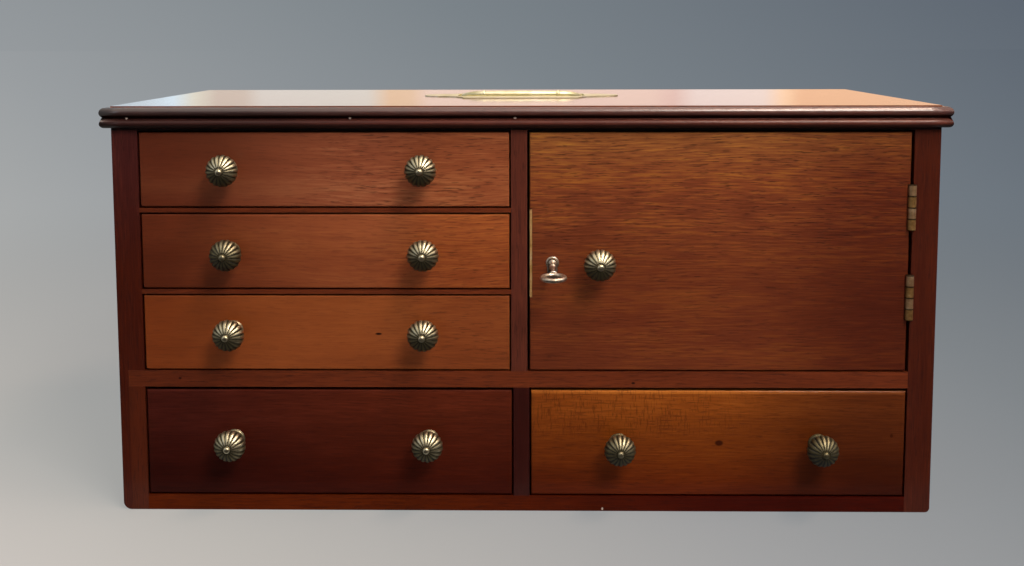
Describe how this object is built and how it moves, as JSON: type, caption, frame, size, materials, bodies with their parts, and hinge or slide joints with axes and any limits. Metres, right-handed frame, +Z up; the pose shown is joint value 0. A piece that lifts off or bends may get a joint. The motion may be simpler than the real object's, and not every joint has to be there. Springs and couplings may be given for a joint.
{
  "type": "specimen chest",
  "caption": "Table-top mahogany specimen chest with shallow and deep dovetailed drawers, a locking cupboard and a sunk brass carrying handle.",
  "frame": {"origin": "centre of the underside, midway between the sides and midway between the case's front and back", "axes": "+X to the right as seen from the front, +Y to the back, +Z up; the drawers and the door face -Y"},
  "size_m": [0.572, 0.2938, 0.2866],
  "materials": {
    "case_mahogany": "french polished",
    "rail_mahogany": "french polished",
    "moulding_mahogany": "french polished",
    "top_mahogany": "glossy french polish",
    "door_mahogany": "french polished",
    "small_drawer_mahogany": "french polished",
    "deep_left_mahogany": "french polished",
    "deep_right_mahogany": "french polished",
    "lining_wood": "bare planed",
    "knob_brass": "antiqued, dark in the grooves",
    "hinge_brass": "dull",
    "lock_brass": "dull",
    "key_brass": "worn bright",
    "handle_brass": "polished"
  },
  "bodies": {
    "case": {"side_left": "case_mahogany", "side_right": "case_mahogany", "bottom_board": "case_mahogany", "middle_shelf": "rail_mahogany", "upper_partition": "case_mahogany", "lower_partition": "case_mahogany", "upper_divider": "rail_mahogany", "lower_divider": "rail_mahogany", "back_panel": "lining_wood", "top_board": "top_mahogany", "moulding_front": "moulding_mahogany", "moulding_left": "moulding_mahogany", "moulding_right": "moulding_mahogany", "handle_plate": "handle_brass", "handle_screws": "handle_brass", "case_hinge_leaves": "hinge_brass", "hinge_pins": "hinge_brass", "case_hinge_screws": "hinge_brass"},
    "door": {"door_panel": "door_mahogany", "door_knob": "knob_brass", "door_hinge_leaves": "hinge_brass", "door_hinge_screws": "hinge_brass", "lock_plate": "lock_brass", "lock_cap": "lock_brass", "lock_spring": "lock_brass", "lock_screws": "lock_brass", "keyhole_escutcheon": "key_brass"},
    "lock_bolt": {"lock_bolt": "lock_brass"},
    "key": {"key": "key_brass"},
    "handle_bail": {"handle_bail": "handle_brass"},
    "small_top_drawer": {"small_top_front": "small_drawer_mahogany", "small_top_side_left": "lining_wood", "small_top_side_right": "lining_wood", "small_top_back": "lining_wood", "small_top_bottom": "lining_wood", "small_top_knobs": "knob_brass"},
    "small_middle_drawer": {"small_middle_front": "small_drawer_mahogany", "small_middle_side_left": "lining_wood", "small_middle_side_right": "lining_wood", "small_middle_back": "lining_wood", "small_middle_bottom": "lining_wood", "small_middle_knobs": "knob_brass"},
    "small_bottom_drawer": {"small_bottom_front": "small_drawer_mahogany", "small_bottom_side_left": "lining_wood", "small_bottom_side_right": "lining_wood", "small_bottom_back": "lining_wood", "small_bottom_bottom": "lining_wood", "small_bottom_knobs": "knob_brass"},
    "deep_left_drawer": {"deep_left_front": "deep_left_mahogany", "deep_left_side_left": "lining_wood", "deep_left_side_right": "lining_wood", "deep_left_back": "lining_wood", "deep_left_bottom": "lining_wood", "deep_left_knobs": "knob_brass"},
    "deep_right_drawer": {"deep_right_front": "deep_right_mahogany", "deep_right_side_left": "lining_wood", "deep_right_side_right": "lining_wood", "deep_right_back": "lining_wood", "deep_right_bottom": "lining_wood", "deep_right_knobs": "knob_brass"}
  },
  "joints": [
    {"name": "small_top_slide", "type": "slide", "parent": "case", "child": "small_top_drawer", "axis": [0, -1, 0], "range_m": [0, 0.185]},
    {"name": "small_middle_slide", "type": "slide", "parent": "case", "child": "small_middle_drawer", "axis": [0, -1, 0], "range_m": [0, 0.185]},
    {"name": "small_bottom_slide", "type": "slide", "parent": "case", "child": "small_bottom_drawer", "axis": [0, -1, 0], "range_m": [0, 0.185]},
    {"name": "deep_left_slide", "type": "slide", "parent": "case", "child": "deep_left_drawer", "axis": [0, -1, 0], "range_m": [0, 0.185]},
    {"name": "deep_right_slide", "type": "slide", "parent": "case", "child": "deep_right_drawer", "axis": [0, -1, 0], "range_m": [0, 0.185]},
    {"name": "door_hinge", "type": "hinge", "parent": "case", "child": "door", "pos_m": [0.2615, -0.1237, 0.1821], "axis": [0, 0, 1], "range_deg": [0, 180]},
    {"name": "key_turn", "type": "hinge", "parent": "door", "child": "key", "pos_m": [0.0192, -0.1125, 0.17522], "axis": [0, -0.9986, -0.0523], "range_deg": [-90, 270]},
    {"name": "lock_bolt_slide", "type": "slide", "parent": "door", "child": "lock_bolt", "axis": [-1, 0, 0], "range_m": [-0.002, 0.006]},
    {"name": "handle_bail_lift", "type": "hinge", "parent": "case", "child": "handle_bail", "pos_m": [-0.003, 0.0265, 0.2795], "axis": [-1, 0, 0], "range_deg": [0, 77]}
  ],
  "couplings": [
    {"joint": "lock_bolt_slide", "follows": "key_turn", "m_per_rad": 0.0012732}
  ]
}
